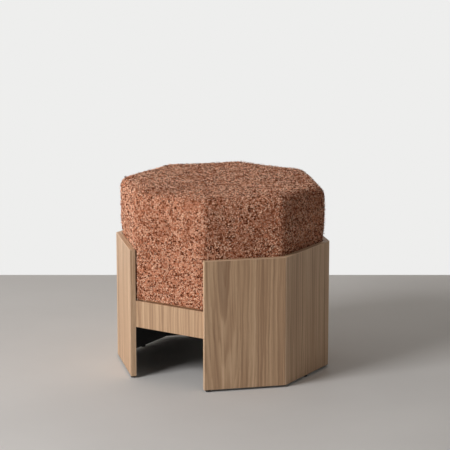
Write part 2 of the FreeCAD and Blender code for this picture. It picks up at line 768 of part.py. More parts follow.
for stem, angle in PANEL_ANGLES.items():
    free_end = FREE_END_SIGNS[stem]
    shell_panel(stem, angle, free_end)
    top_band(stem, angle, free_end)
    if free_end:
        end_band(stem, angle, free_end)
    cleat(stem, angle, free_end)
mitre_spline("right_front_spline", PANEL_ANGLES["right_side"], -1)
mitre_spline("right_rear_spline", PANEL_ANGLES["right_side"], 1)
mitre_spline("left_rear_spline", PANEL_ANGLES["left_side"], -1)
mitre_spline("left_front_spline", PANEL_ANGLES["left_side"], 1)
for stem, angle in RAIL_ANGLES.items():
    rail(stem, angle)
    rail_splines(stem, angle)
compound("cleat_screws", [cleat_screw_pair(stem, angle) for stem, angle in PANEL_ANGLES.items()])
seat_bolts()
seat_inserts()
seat_board()
seat_layers()
dust_cover()
floor_glides()
check_and_write()
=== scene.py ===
import math
import random

import bmesh
import bpy
from mathutils import Matrix, Vector, noise


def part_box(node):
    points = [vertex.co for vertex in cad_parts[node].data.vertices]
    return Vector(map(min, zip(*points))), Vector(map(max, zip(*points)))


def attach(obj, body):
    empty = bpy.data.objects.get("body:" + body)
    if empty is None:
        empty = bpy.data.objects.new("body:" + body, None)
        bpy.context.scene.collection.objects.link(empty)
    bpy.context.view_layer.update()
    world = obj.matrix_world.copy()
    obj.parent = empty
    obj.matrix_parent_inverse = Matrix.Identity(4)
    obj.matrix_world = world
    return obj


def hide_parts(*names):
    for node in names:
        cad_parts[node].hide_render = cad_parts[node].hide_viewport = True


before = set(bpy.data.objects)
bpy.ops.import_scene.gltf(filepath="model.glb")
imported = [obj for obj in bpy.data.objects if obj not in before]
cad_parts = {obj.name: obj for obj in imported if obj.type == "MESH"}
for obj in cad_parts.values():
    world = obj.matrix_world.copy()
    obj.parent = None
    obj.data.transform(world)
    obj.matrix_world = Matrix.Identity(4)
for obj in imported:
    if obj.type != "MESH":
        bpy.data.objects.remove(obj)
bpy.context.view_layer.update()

# Places read from the frame, in metres
SHELL_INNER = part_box("right_side_panel")[0].x
SHELL_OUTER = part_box("right_side_panel")[1].x
SHELL_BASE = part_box("right_side_panel")[0].z
SHELL_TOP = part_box("right_side_top_band")[1].z
RAIL_INNER = -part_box("front_rail")[1].y
SEAT_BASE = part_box("cover_front_panel")[0].z
SEAT_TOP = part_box("cover_top_panel")[1].z
BOARD_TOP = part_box("seat_board")[1].z
DUST_COVER_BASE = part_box("dust_cover")[0].z
DUST_COVER_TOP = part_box("dust_cover")[1].z
DUST_COVER_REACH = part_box("dust_cover")[1].x

# The octagon: each side faces one of these angles, in degrees from the front towards the right
HALF_EIGHTH = math.radians(22.5)
SIDES = {
    "front": 0,
    "right_front": 45,
    "right_side": 90,
    "right_rear": 135,
    "rear": 180,
    "left_rear": 225,
    "left_side": 270,
    "left_front": 315,
}
GAP_SIDES = ("front", "rear")
GAP_HALF_WIDTH = SHELL_INNER * math.tan(HALF_EIGHTH)
SHELL_HALF_SIDE = SHELL_OUTER * math.tan(HALF_EIGHTH)

# The seat: the woven ground under the pile, and its rounded edges
PILE_HEIGHT = 0.0013
SHELL_CLEARANCE = 0.0004
GROUND_REACH = SHELL_INNER - SHELL_CLEARANCE - PILE_HEIGHT
GROUND_BASE = SEAT_BASE + SHELL_CLEARANCE
CROWN_HEIGHT = 0.0020
GROUND_TOP = SEAT_TOP - CROWN_HEIGHT - PILE_HEIGHT
SEAT_CORNER_RADIUS = 0.028
SEAT_CORNER_CUT = SEAT_CORNER_RADIUS * math.tan(HALF_EIGHTH)
SEAT_SHOULDER_RADIUS = 0.021
SEAT_BASE_RADIUS = 0.006
SEAT_FLARE = 0.0042
FLARE_HEIGHT = 0.030
REMESH_SIZE = 0.0048

# The stuffing: how far it swells the cover, and what else keeps the seat from being even
SWELL_FRAMES = 20
SWELL_PRESSURE = 4.0
SWELL_LIMIT = 0.0025
COVER_CLOTH_MASS = 0.4
COVER_CLOTH_QUALITY = 6
SIDE_PULL = 0.0025
LUMP_HEIGHT = 0.0010
LUMP_SIZE = 0.045
FINE_LUMP_SIZE = LUMP_SIZE / 2.3
FINE_LUMP_SHARE = 0.5
SETTLED_CORNER = 112.5
SETTLE_DEPTH = 0.009
SETTLE_REACH = 0.10

# Where the board and the shells hold the cover, and the height over which their hold fades
HELD_OVER_BOARD = 0.02
HELD_BESIDE_SHELL = 0.012
HELD_BELOW_RIM = 0.012
HOLD_FADE = 0.06

# The pile: a tight curl of yarn in the middle of each face of the ground, and slubs between the curls
CURL_RADIUS = 0.00095
CURL_STEPS = 5
CURL_BEND = 0.45 * CURL_RADIUS
CURL_STRETCH = 0.25
CURL_SIZES = (0.8, 1.3)
CURL_FLATNESS = 0.65
CURL_TIP = math.radians(28)
CURL_JITTER = 0.0012
CURL_RISE = 0.0012
STRAY_RISE = 0.0036
STRAY_SHARE = 0.20
YARN_RADIUS = 0.00080
YARN_SIDES = 3
SLUB_RADIUS = 0.00085
SLUB_STRETCH = 1.6
CLUMP_SHARE = 0.6
BARE_SHARE = 0.05
BARE_ABOVE_RAIL = 0.004
PILE_SEED = 7

# Padding under the cover
FOAM_EDGE = 0.004
TOPPER_EDGE = 0.015
WRAP_THICKNESS = 0.006
WRAP_GAP = 0.004

# The dust cover and its staples
DUST_COVER_CELLS = 28
DUST_COVER_SAG = 0.0025
SAG_POWER = 1.5
RIPPLE_SHARE = 0.2
RIPPLE_SIZE = 1 / 22
DUST_CLOTH_THICKNESS = 0.0004
STAPLE_WIDTH = 0.010
STAPLE_WIRE = 0.0005
STAPLE_BEND = 2 * STAPLE_WIRE
STAPLE_BEND_STEPS = 3
STAPLE_WIRE_SIDES = 6
STAPLES_PER_SIDE = 5
STAPLE_INSET = 0.006

# The photograph's camera, in metres, degrees and millimetres of lens and sensor
CAMERA_AZIMUTH = 32.621
CAMERA_DISTANCE = 4.5696
CAMERA_HEIGHT = 1.3712
CAMERA_HEADING = 32.526
CAMERA_PITCH = 12.728
CAMERA_LENS = 156.4
SENSOR_WIDTH = 36.0

# Light: the key, and the surround with its wall and its window, each with where it starts and is full
KEY_AZIMUTH = -20.0
KEY_ELEVATION = 31.0
KEY_DISTANCE = 4.0
KEY_SIZE = 1.4
KEY_LEVEL = 0.64
KEY_COLOR = (1.0, 0.99, 0.98)
KEY_TARGET = Vector((0, 0, 0.25))
FILL_LEVEL = 0.12
WALL_LEVEL = 0.45
WALL_SPREAD = (0.2, 0.9)
WINDOW_AZIMUTH = -66.0
WINDOW_LEVEL = 3.2
WINDOW_SPREAD = (0.45, 1.0)
WINDOW_HEIGHT = (0.15, 0.55)

# The floor's reach from the pouf
FLOOR_BEHIND = 0.853
FLOOR_AHEAD = 9.0
FLOOR_HALF_WIDTH = 7.0


def srgb(red, green, blue):
    """A colour written as 0 to 255 per channel, in the linear values that the nodes use."""
    def linear(channel):
        part = channel / 255
        return part / 12.92 if part <= 0.04045 else ((part + 0.055) / 1.055) ** 2.4
    return (linear(red), linear(green), linear(blue), 1.0)


def bearing(degrees):
    """The level direction at this angle from the front towards the right."""
    angle = math.radians(degrees)
    return Vector((math.sin(angle), -math.cos(angle), 0))


def set_stops(ramp, stops):
    """Gives a colour ramp its positions and colours."""
    while len(ramp.elements) < len(stops):
        ramp.elements.new(1.0)
    for element, (position, color) in zip(ramp.elements, stops):
        element.position = position
        element.color = color


class Value:
    """A node's output; arithmetic on it adds Math nodes."""

    def __init__(self, finish, socket):
        self.finish = finish
        self.socket = socket

    def __add__(self, other):
        return self.finish.math("ADD", self, other)

    def __sub__(self, other):
        return self.finish.math("SUBTRACT", self, other)

    def __rsub__(self, other):
        return self.finish.math("SUBTRACT", other, self)

    def __mul__(self, other):
        return self.finish.math("MULTIPLY", self, other)

    def __truediv__(self, other):
        return self.finish.math("DIVIDE", self, other)

    def __pow__(self, other):
        return self.finish.math("POWER", self, other)

    def __abs__(self):
        return self.finish.math("ABSOLUTE", self)

    __radd__ = __add__
    __rmul__ = __mul__


class Finish:
    """The nodes of a new material or world."""

    def __init__(self, owner):
        owner.use_nodes = True
        self.owner = owner
        self.tree = owner.node_tree
        self.tree.nodes.clear()

    def add(self, kind, settings=None, sockets=None, output=0):
        """A node with its settings, then its socket values or links; gives one of its outputs."""
        node = self.tree.nodes.new(kind)
        for name, setting in (settings or {}).items():
            if name == "stops":
                set_stops(node.color_ramp, setting)
            else:
                setattr(node, name, setting)
        for name, value in (sockets or {}).items():
            if isinstance(value, Value):
                self.tree.links.new(value.socket, node.inputs[name])
            else:
                node.inputs[name].default_value = value
        return Value(self, node.outputs[output]) if node.outputs else None

    def math(self, operation, *values):
        return self.add("ShaderNodeMath", {"operation": operation}, dict(enumerate(values)))

    def place(self, turn=0.0):
        """Object coordinates, turned about the upright axis so that a side faces the front."""
        coordinates = self.add("ShaderNodeTexCoord", output="Object")
        return self.add("ShaderNodeMapping", {}, {
            "Vector": coordinates, "Rotation": (0, 0, -math.radians(turn))})

    def split(self, vector):
        first = self.add("ShaderNodeSeparateXYZ", {}, {0: vector})
        return [Value(self, socket) for socket in first.socket.node.outputs]

    def vector(self, x, y, z):
        return self.add("ShaderNodeCombineXYZ", {}, {0: x, 1: y, 2: z})

    def dot(self, vector, direction):
        return self.add("ShaderNodeVectorMath", {"operation": "DOT_PRODUCT"},
                        {0: vector, 1: direction}, "Value")

    def noise(self, vector, scale=1.0, detail=2.0):
        """Noise with this many cycles per metre."""
        return self.add("ShaderNodeTexNoise", {}, {"Vector": vector, "Scale": scale, "Detail": detail})

    def drawn_out(self, vector, cycles, detail=2.0):
        """Noise with its own number of cycles per metre along each axis."""
        scaled = self.add("ShaderNodeVectorMath", {"operation": "MULTIPLY"}, {0: vector, 1: cycles})
        return self.noise(scaled, detail=detail)

    def cells(self, vector, scale):
        """The distance from the middles of cells, with this many cells per metre."""
        return self.add("ShaderNodeTexVoronoi", {}, {"Vector": vector, "Scale": scale}, "Distance")

    def step(self, value, start, end):
        """0 below start and 1 above end, with a smooth rise between."""
        return self.add("ShaderNodeMapRange", {"interpolation_type": "SMOOTHSTEP"}, {
            "Value": value, "From Min": start, "From Max": end})

    def near(self, value, limit, start, end):
        """0 where a value is further than start below its limit, and 1 where it is nearer than end."""
        return self.step(value, limit - start, limit - end)

    def mix(self, factor, first, second):
        return self.add("ShaderNodeMix", {"data_type": "RGBA"}, {0: factor, 6: first, 7: second}, 2)

    def ramp(self, value, *stops):
        return self.add("ShaderNodeValToRGB", {"stops": stops}, {0: value})

    def bump(self, height, distance):
        return self.add("ShaderNodeBump", {}, {"Distance": distance, "Height": height})

    def surface(self, sockets):
        shader = self.add("ShaderNodeBsdfPrincipled", {}, sockets)
        self.add("ShaderNodeOutputMaterial", {}, {"Surface": shader})
        return self.owner


def new_finish(name):
    return Finish(bpy.data.materials.new(name))


# Wood

VENEER_PALE = srgb(214, 182, 149)
VENEER_LIGHT = srgb(195, 161, 128)
VENEER_MID = srgb(171, 136, 105)
VENEER_DARK = srgb(129, 96, 71)
# a painted highlight for the arrises of the panels and their edge bands
PAINTED_ARRIS_HIGHLIGHT = srgb(216, 190, 164)
# painted shade for the shells' inner faces, and a painted shadow line along their undersides
PAINTED_SHADE = srgb(26, 22, 19)
PLY_PALE = srgb(206, 176, 136)
PLY_BROWN = srgb(150, 112, 76)
PLY_FIBRE = srgb(122, 88, 58)
# the cleats' grain tones, darkened by painted shade like the inside of the shells
PAINTED_SHADE_EARLY_WOOD = srgb(62, 46, 34)
PAINTED_SHADE_MID_WOOD = srgb(44, 33, 25)
PAINTED_SHADE_LATE_WOOD = srgb(26, 20, 16)
PLY_THICKNESS = 0.0028

# The veneer's rings about the heart of the flame figure, and how far its grain strays, in metres
RING_WIDTH = 0.0085
RING_WANDER = 3.2
HEART_SLOPE = 0.085
FLAME_WIDTH = 0.0216
FLAME_EDGE = 0.006
SWAY_WIDTH = 0.014
WAVE_WIDTH = 0.004

# The veneer's figure: each part's cycles per metre across the grain and along it, and its slice of noise
SWAYS = (11, 4, 0)
WAVES = (24, 14, 13)
WANDERINGS = (55, 2.2, 3)
BANDS = (85, 1.4, 7)
STREAKS = (260, 3.6, 5)
PALE_LINES = (300, 1.8, 11)
PORES = (1500, 42, 9)

# The edge bands' figure: cycles per metre along the grain, through the panel and across the band
EDGE_STREAKS = (9, 700, 500)
EDGE_PORES = (50, 1500, 1500)

# Where the painted highlight on an arris, the painted shade on the inner face and the painted shadow
# line along the underside start and are full, in metres from their edge
PANEL_PAINTED_HIGHLIGHT = (0.0016, 0.0004)
BAND_PAINTED_HIGHLIGHT = (0.0014, 0.0003)
INNER_SHADE_EDGE = (0.0008, 0.0003)
UNDERSIDE_SHADOW_EDGE = (0.0006, 0.0002)


def veneer(name, turn, inner_face, heart, apex, paleness_and_painted_light, liveliness, seed):
    """Oiled veneer with upright grain, with painted shade on its inner face and a painted shadow line
    along its underside.

    heart is how far across the side the flame figure runs, and apex the height where its rings close.
    """
    wood = new_finish(name)
    across, through, up = wood.split(wood.place(turn))

    def figure(line, part, detail=2.0):
        crosswise, lengthwise, offset = part
        return wood.noise(wood.vector(line * crosswise, seed + offset, up * lengthwise), detail=detail)

    sway = figure(across, SWAYS, 3) - 0.5
    wave = figure(across, WAVES) - 0.5
    grain = across + SWAY_WIDTH * sway + WAVE_WIDTH * wave
    aside = grain - heart
    depth = (apex - up) * HEART_SLOPE
    from_heart = (aside * aside + depth * depth) ** 0.5
    ring = from_heart / RING_WIDTH + RING_WANDER * figure(grain, WANDERINGS, 3)
    phase = wood.math("FRACT", ring)
    late_wood = wood.step(phase, 0.1, 0.8) - wood.step(phase, 0.8, 1.0)
    flame = 1 - wood.step(from_heart, FLAME_WIDTH - FLAME_EDGE, FLAME_WIDTH)
    band = figure(grain, BANDS)
    streak = figure(grain, STREAKS, 3)
    pale_line = wood.step(figure(grain, PALE_LINES), 0.62, 0.74)
    pore = wood.step(figure(across, PORES), 0.60, 0.72)
    stripe = 1.5 * (band - 0.5) + 0.7 * (streak - 0.5)
    # paleness is each leaf's own tone, plus painted light on the shaded right front and right side
    tone = 0.5 + paleness_and_painted_light + liveliness * stripe + 0.2 * (0.5 - late_wood)
    color = wood.ramp(tone, (0.12, VENEER_DARK), (0.45, VENEER_MID),
                      (0.68, VENEER_LIGHT), (0.95, VENEER_PALE))
    color = wood.mix(0.5 * pale_line, color, VENEER_PALE)
    color = wood.mix(0.5 * flame, color, VENEER_DARK)
    color = wood.mix(0.35 * pore, color, VENEER_DARK)
    # painted highlight along the side's upright arrises
    color = wood.mix(0.6 * wood.near(abs(across), SHELL_HALF_SIDE, *PANEL_PAINTED_HIGHLIGHT), color, PAINTED_ARRIS_HIGHLIGHT)
    # painted shade darkening the inner face, then a painted shadow line along the underside
    color = wood.mix(wood.near(through, -inner_face, *INNER_SHADE_EDGE), color, PAINTED_SHADE)
    color = wood.mix(wood.near(SHELL_BASE - up, 0, *UNDERSIDE_SHADOW_EDGE), color, PAINTED_SHADE)
    return wood.surface({
        "Base Color": color,
        "Roughness": 0.46 + 0.16 * streak,
        "Normal": wood.bump(streak * 0.5 - pore, 0.00012),
        "Coat Weight": 0.06,
        "Coat Roughness": 0.35,
    })


def edge_veneer(name, turn, along_edge, seed):
    """The thin bands on the panels' edges: grain along the edge, or upright, and a painted highlight on
    the arrises.
    """
    wood = new_finish(name)
    across, through, up = wood.split(wood.place(turn))
    along, cross = (across, up) if along_edge else (up, across)

    def figure(cycles, detail=2.0):
        lengthwise, inwards, crosswise = cycles
        point = wood.vector(along * lengthwise, through * inwards, cross * crosswise + seed)
        return wood.noise(point, detail=detail)

    streak = figure(EDGE_STREAKS, 3)
    pore = wood.step(figure(EDGE_PORES), 0.6, 0.7)
    middle = (SHELL_INNER + SHELL_OUTER) / 2
    half = (SHELL_OUTER - SHELL_INNER) / 2
    color = wood.mix(wood.step(streak, 0.35, 0.7), VENEER_PALE, VENEER_MID)
    color = wood.mix(0.5 * pore, color, VENEER_DARK)
    # painted highlight along the band's arrises
    color = wood.mix(0.5 * wood.near(abs(through + middle), half, *BAND_PAINTED_HIGHLIGHT), color, PAINTED_ARRIS_HIGHLIGHT)
    return wood.surface({
        "Base Color": color,
        "Roughness": 0.5 + 0.14 * streak,
        "Normal": wood.bump(streak - pore, 0.0001),
        "Coat Weight": 0.05,
    })


def plywood(name):
    """Thin plies lying flat, pale and brown by turns."""
    wood = new_finish(name)
    place = wood.place()
    up = wood.split(place)[2]
    ply = wood.math("PINGPONG", up / PLY_THICKNESS, 1.0)
    fibre = wood.drawn_out(place, (25, 320, 320), 3)
    color = wood.mix(wood.step(ply, 0.35, 0.65), PLY_PALE, PLY_BROWN)
    color = wood.mix(0.5 * wood.step(fibre, 0.45, 0.8), color, PLY_FIBRE)
    return wood.surface({
        "Base Color": color,
        "Roughness": 0.62 + 0.2 * fibre,
        "Normal": wood.bump(fibre + 0.3 * ply, 0.0002),
    })


def softwood(name, turn):
    """Sawn softwood with its grain along the side, darkened by painted shade as deep as that inside the
    shells.
    """
    wood = new_finish(name)
    place = wood.place(turn)
    grain = wood.drawn_out(place, (6, 210, 210), 3)
    saw_marks = wood.drawn_out(place, (340, 12, 12))
    color = wood.ramp(grain, (0.3, PAINTED_SHADE_EARLY_WOOD), (0.55, PAINTED_SHADE_MID_WOOD),
                      (0.8, PAINTED_SHADE_LATE_WOOD))
    return wood.surface({
        "Base Color": color,
        "Roughness": 0.6 + 0.2 * grain,
        "Normal": wood.bump(0.6 * grain + 0.4 * saw_marks, 0.0003),
    })


# Metal and plastic

ZINC_DULL = srgb(168, 168, 164)
ZINC_BRIGHT = srgb(206, 205, 200)
BLACK_PLASTIC = srgb(22, 21, 21)
FLOOR_DUST = srgb(96, 92, 88)
DUST_HEIGHT = 0.002


def zinc(name):
    """Zinc-plated steel with the faint mottling of the plating."""
    metal = new_finish(name)
    place = metal.place()
    mottle = metal.noise(place, 900, 3)
    scratch = metal.noise(place, 4200, 1)
    return metal.surface({
        "Base Color": metal.ramp(mottle, (0.3, ZINC_DULL), (0.75, ZINC_BRIGHT)),
        "Metallic": 1.0,
        "Roughness": 0.28 + 0.22 * mottle,
        "Normal": metal.bump(scratch, 0.00003),
    })


def glide_plastic(name):
    """Black moulded plastic with a fine grained surface and dust at the foot."""
    plastic = new_finish(name)
    place = plastic.place()
    up = plastic.split(place)[2]
    grain = plastic.noise(place, 2600)
    dust = (1 - plastic.step(up, 0.0, DUST_HEIGHT)) * plastic.noise(place, 420)
    return plastic.surface({
        "Base Color": plastic.mix(0.5 * dust, BLACK_PLASTIC, FLOOR_DUST),
        "Roughness": 0.45 + 0.25 * grain,
        "Normal": plastic.bump(grain, 0.00004),
    })


# Cloth and padding

YARN_PALE = srgb(255, 217, 190)
YARN_TERRACOTTA = srgb(237, 169, 135)
YARN_RUST = srgb(168, 99, 67)
YARN_BROWN = srgb(84, 34, 18)
GROUND_BROWN = srgb(196, 131, 99)
CORE_FOAM = (srgb(226, 210, 160), srgb(168, 146, 96))
TOPPER_FOAM = (srgb(226, 226, 222), srgb(170, 172, 172))
FELT_SHADE = srgb(214, 212, 206)
FELT_WHITE = srgb(240, 239, 235)
CLOTH_BLACK = srgb(24, 24, 25)
CLOTH_FUZZ = srgb(50, 50, 52)
BONDED_BLACK = srgb(14, 14, 15)
BONDED_DOT_PITCH = 0.0017


def boucle_pile(name):
    """Curled yarn in mixed terracotta tones, with patches where the pile lies the other way."""
    yarn = new_finish(name)
    place = yarn.place()
    tone = yarn.add("ShaderNodeAttribute", {"attribute_name": "tone"}, output="Fac")
    patch = yarn.noise(place, 26, 3)
    fibre = yarn.noise(place, 1700)
    color = yarn.ramp(tone, (0.25, YARN_BROWN), (0.35, YARN_RUST),
                      (0.46, YARN_TERRACOTTA), (0.68, YARN_PALE))
    color = yarn.mix(0.45 * yarn.step(patch, 0.45, 0.72), color, YARN_RUST)
    color = yarn.mix(0.2 * yarn.step(fibre, 0.5, 0.75), color, YARN_RUST)
    return yarn.surface({
        "Base Color": color,
        "Roughness": 0.82 + 0.15 * fibre,
        "Normal": yarn.bump(fibre, 0.0003),
        "Specular IOR Level": 0.05,
    })


def boucle_ground(name):
    """The knotted, woven ground that the curls stand on."""
    cloth = new_finish(name)
    place = cloth.place()
    knot = cloth.cells(place, 330)
    tone = cloth.noise(place, 120, 3)
    color = cloth.ramp(tone, (0.3, YARN_RUST), (0.6, GROUND_BROWN))
    color = cloth.mix(0.6 * cloth.step(knot, 0.35, 0.75), color, GROUND_BROWN)
    return cloth.surface({
        "Base Color": color,
        "Roughness": 0.9 + 0.08 * tone,
        "Normal": cloth.bump(1 - knot, 0.0015),
    })


def foam(name, pale, deep):
    """Open-celled foam."""
    padding = new_finish(name)
    place = padding.place()
    cell = padding.cells(place, 900)
    tint = padding.noise(place, 14)
    return padding.surface({
        "Base Color": padding.mix(0.5 * padding.step(cell, 0.3, 0.7) + 0.3 * tint, pale, deep),
        "Roughness": 0.88 + 0.1 * tint,
        "Normal": padding.bump(cell, 0.0008),
    })


def fibre_felt(name):
    """Polyester wadding: tangled white fibres."""
    felt = new_finish(name)
    place = felt.place()
    first = felt.drawn_out(place, (60, 700, 300), 4)
    second = felt.drawn_out(place, (700, 60, 300), 4)
    tangle = 2.0 * first * second
    return felt.surface({
        "Base Color": felt.ramp(tangle, (0.3, FELT_SHADE), (0.7, FELT_WHITE)),
        "Roughness": 0.9 + 0.08 * first,
        "Normal": felt.bump(tangle, 0.001),
    })


def dust_cloth(name):
    """Black spun-bonded cloth with a diagonal grid of bonded dots."""
    cloth = new_finish(name)
    place = cloth.place(45)
    from_dot = [abs(cloth.math("FRACT", along / BONDED_DOT_PITCH) - 0.5)
                for along in cloth.split(place)[:2]]
    distance = (from_dot[0] * from_dot[0] + from_dot[1] * from_dot[1]) ** 0.5
    dot = 1 - cloth.step(distance, 0.16, 0.26)
    fuzz = cloth.noise(place, 1900, 3)
    color = cloth.mix(cloth.step(fuzz, 0.4, 0.75), CLOTH_BLACK, CLOTH_FUZZ)
    return cloth.surface({
        "Base Color": cloth.mix(0.6 * dot, color, BONDED_BLACK),
        "Roughness": 0.9 - 0.35 * dot,
        "Normal": cloth.bump(0.4 * fuzz - dot, 0.00015),
    })


# Pieces

def new_piece(name, mesh, material):
    """An object at the origin that rides on the body and wears one material."""
    piece = bpy.data.objects.new(name, mesh)
    bpy.context.scene.collection.objects.link(piece)
    mesh.materials.clear()
    mesh.materials.append(material)
    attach(piece, "root")
    return piece


def to_mesh(name, shape):
    mesh = bpy.data.meshes.new(name)
    shape.to_mesh(mesh)
    shape.free()
    return mesh


def smooth(mesh):
    for polygon in mesh.polygons:
        polygon.use_smooth = True


def stamp(shape, mesh, place):
    """Adds a copy of a mesh to a shape, moved to its place."""
    mesh.transform(place)
    shape.from_mesh(mesh)
    mesh.transform(place.inverted())


def bevel(shape, edges, offset, segments):
    bmesh.ops.bevel(shape, geom=edges, offset=offset, offset_type="OFFSET", affect="EDGES",
                    segments=segments, profile=0.5, material=-1, clamp_overlap=True)


def cut(shape, point, normal, clear_outer=False):
    """Cuts a shape along a plane, and can clear what lies beyond it."""
    bmesh.ops.bisect_plane(shape, geom=shape.verts[:] + shape.edges[:] + shape.faces[:],
                           plane_co=point, plane_no=normal, clear_outer=clear_outer)


def octagon_block(reach, base, top):
    """An octagonal prism with flats that face the eight sides."""
    shape = bmesh.new()
    place = Matrix.Translation((0, 0, (base + top) / 2)) @ Matrix.Rotation(HALF_EIGHTH, 4, "Z")
    radius = reach / math.cos(HALF_EIGHTH)
    bmesh.ops.create_cone(shape, cap_ends=True, segments=8, radius1=radius, radius2=radius,
                          depth=top - base, matrix=place)
    return shape


def upright_edges(shape):
    """The edges that climb at least a centimetre."""
    return [edge for edge in shape.edges if abs(edge.verts[0].co.z - edge.verts[1].co.z) > 0.01]


def level_edges(shape, height):
    """The edges of the rim at this height."""
    return [edge for edge in shape.edges
            if all(abs(vert.co.z - height) < 1e-5 for vert in edge.verts)]


def seat_form():
    """The cut of the cover before it is filled: an octagon with soft corners and a rolled shoulder."""
    shape = octagon_block(GROUND_REACH, GROUND_BASE, GROUND_TOP)
    for height in (SHELL_TOP, SHELL_TOP + FLARE_HEIGHT):
        cut(shape, (0, 0, height), (0, 0, 1))
    free = [vert for vert in shape.verts if vert.co.z > SHELL_TOP + FLARE_HEIGHT / 2]
    flare = 1 + SEAT_FLARE / GROUND_REACH
    bmesh.ops.scale(shape, verts=free, vec=(flare, flare, 1))
    bevel(shape, upright_edges(shape), SEAT_CORNER_CUT, segments=4)
    bevel(shape, level_edges(shape, GROUND_TOP), SEAT_SHOULDER_RADIUS, segments=6)
    bevel(shape, level_edges(shape, GROUND_BASE), SEAT_BASE_RADIUS, segments=2)
    return to_mesh("seat_form", shape)


def applied(piece):
    """The mesh of an object with its modifiers applied."""
    graph = bpy.context.evaluated_depsgraph_get()
    return bpy.data.meshes.new_from_object(piece.evaluated_get(graph))


def side_of(point):
    """The side of the octagon that a point lies towards."""
    angle = math.degrees(math.atan2(point.x, -point.y)) % 360
    return min(SIDES, key=lambda side: abs((SIDES[side] - angle + 180) % 360 - 180))


def in_gap(point, margin=0.0):
    """Whether a point shows between the two shells."""
    return side_of(point) in GAP_SIDES and abs(point.x) < GAP_HALF_WIDTH - margin


def held_share(point):
    """How firmly the shells, the rails and the board hold the cover: 1 is fixed and 0 is free."""
    in_the_open = in_gap(point, HELD_BESIDE_SHELL)
    free_from = SEAT_BASE + HELD_OVER_BOARD if in_the_open else SHELL_TOP - HELD_BELOW_RIM
    return 1 - min(1, max(0, (point.z - free_from) / HOLD_FADE))


def swell(mesh):
    """Fills the cover: cloth under pressure from inside, eased to a limit and held by the shells.

    The foam keeps the cover from drawing in, so only its outward movement counts.
    """
    scene = bpy.context.scene
    bag = bpy.data.objects.new("seat_bag", mesh)
    scene.collection.objects.link(bag)
    held = bag.vertex_groups.new(name="held")
    for vert in mesh.vertices:
        held.add([vert.index], held_share(vert.co), "REPLACE")
    cloth = bag.modifiers.new("Cloth", "CLOTH")
    cloth.settings.quality = COVER_CLOTH_QUALITY
    cloth.settings.mass = COVER_CLOTH_MASS
    cloth.settings.use_pressure = True
    cloth.settings.uniform_pressure_force = SWELL_PRESSURE
    cloth.settings.effector_weights.gravity = 0
    cloth.settings.vertex_group_mass = held.name
    for number in range(1, SWELL_FRAMES + 1):
        scene.frame_set(number)
    swollen = applied(bag)
    normals = [vert.normal.copy() for vert in mesh.vertices]
    for vert, after, normal in zip(mesh.vertices, swollen.vertices, normals):
        outward = max(0.0, (after.co - vert.co).dot(normal))
        eased = outward * SWELL_LIMIT / (SWELL_LIMIT + outward)
        vert.co += normal * (1 - held_share(vert.co)) * eased
    scene.frame_set(1)
    bpy.data.objects.remove(bag)


def pull_sides(mesh):
    """The cover is pulled in a little between the corners, where it stands free of the shells."""
    for vert, normal in zip(mesh.vertices, [vert.normal.copy() for vert in mesh.vertices]):
        angle = math.atan2(vert.co.x, -vert.co.y) % (2 * HALF_EIGHTH)
        from_middle = min(angle, 2 * HALF_EIGHTH - angle) / HALF_EIGHTH
        share = math.cos(from_middle * math.pi / 2) * (1 - held_share(vert.co))
        vert.co -= Vector((normal.x, normal.y, 0)) * SIDE_PULL * share


def settle_corner(mesh):
    """The corner between the right side and the right rear has given way a little with use."""
    corner = bearing(SETTLED_CORNER) * GROUND_REACH / math.cos(HALF_EIGHTH)
    corner.z = GROUND_TOP
    for vert in mesh.vertices:
        nearness = max(0.0, 1 - (vert.co - corner).length / SETTLE_REACH)
        vert.co.z -= SETTLE_DEPTH * nearness * nearness * (3 - 2 * nearness)


def add_lumps(mesh):
    """The slight unevenness of hand-pulled upholstery, above the shells only."""
    for vert, normal in zip(mesh.vertices, [vert.normal.copy() for vert in mesh.vertices]):
        lump = noise.noise(vert.co / LUMP_SIZE) + FINE_LUMP_SHARE * noise.noise(vert.co / FINE_LUMP_SIZE)
        vert.co += normal * lump * LUMP_HEIGHT * (1 - held_share(vert.co))


def seat_ground():
    """The filled cover without its pile: remeshed evenly, swollen and made a little uneven."""
    form = bpy.data.objects.new("seat_form", seat_form())
    bpy.context.scene.collection.objects.link(form)
    remesh = form.modifiers.new("Remesh", "REMESH")
    remesh.mode = "VOXEL"
    remesh.voxel_size = REMESH_SIZE
    mesh = applied(form)
    bpy.data.objects.remove(form)
    swell(mesh)
    pull_sides(mesh)
    settle_corner(mesh)
    add_lumps(mesh)
    mesh.name = "seat_cover"
    return mesh


def seat_cover(ground, material):
    """The ground as one cover, in place of the panels that it is sewn from."""
    smooth(ground)
    cover = new_piece("seat_cover", ground, material)
    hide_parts("cover_top_panel", *(f"cover_{side}_panel" for side in SIDES))


def yarn_curl():
    """One closed curl of yarn, bent out of its plane."""
    shape = bmesh.new()
    across_yarn = Matrix.Translation((CURL_RADIUS, 0, 0)) @ Matrix.Rotation(math.pi / 2, 4, "X")
    bmesh.ops.create_circle(shape, segments=YARN_SIDES, radius=YARN_RADIUS, matrix=across_yarn)
    bmesh.ops.spin(shape, geom=shape.verts[:] + shape.edges[:], cent=(0, 0, 0), axis=(0, 0, 1),
                   angle=2 * math.pi, steps=CURL_STEPS, use_merge=True)
    for vert in shape.verts:
        around = math.atan2(vert.co.y, vert.co.x)
        vert.co.z += CURL_BEND * math.sin(2 * around)
        vert.co.x *= 1 + CURL_STRETCH * math.cos(around)
    bmesh.ops.recalc_face_normals(shape, faces=shape.faces)
    return to_mesh("yarn_curl", shape)


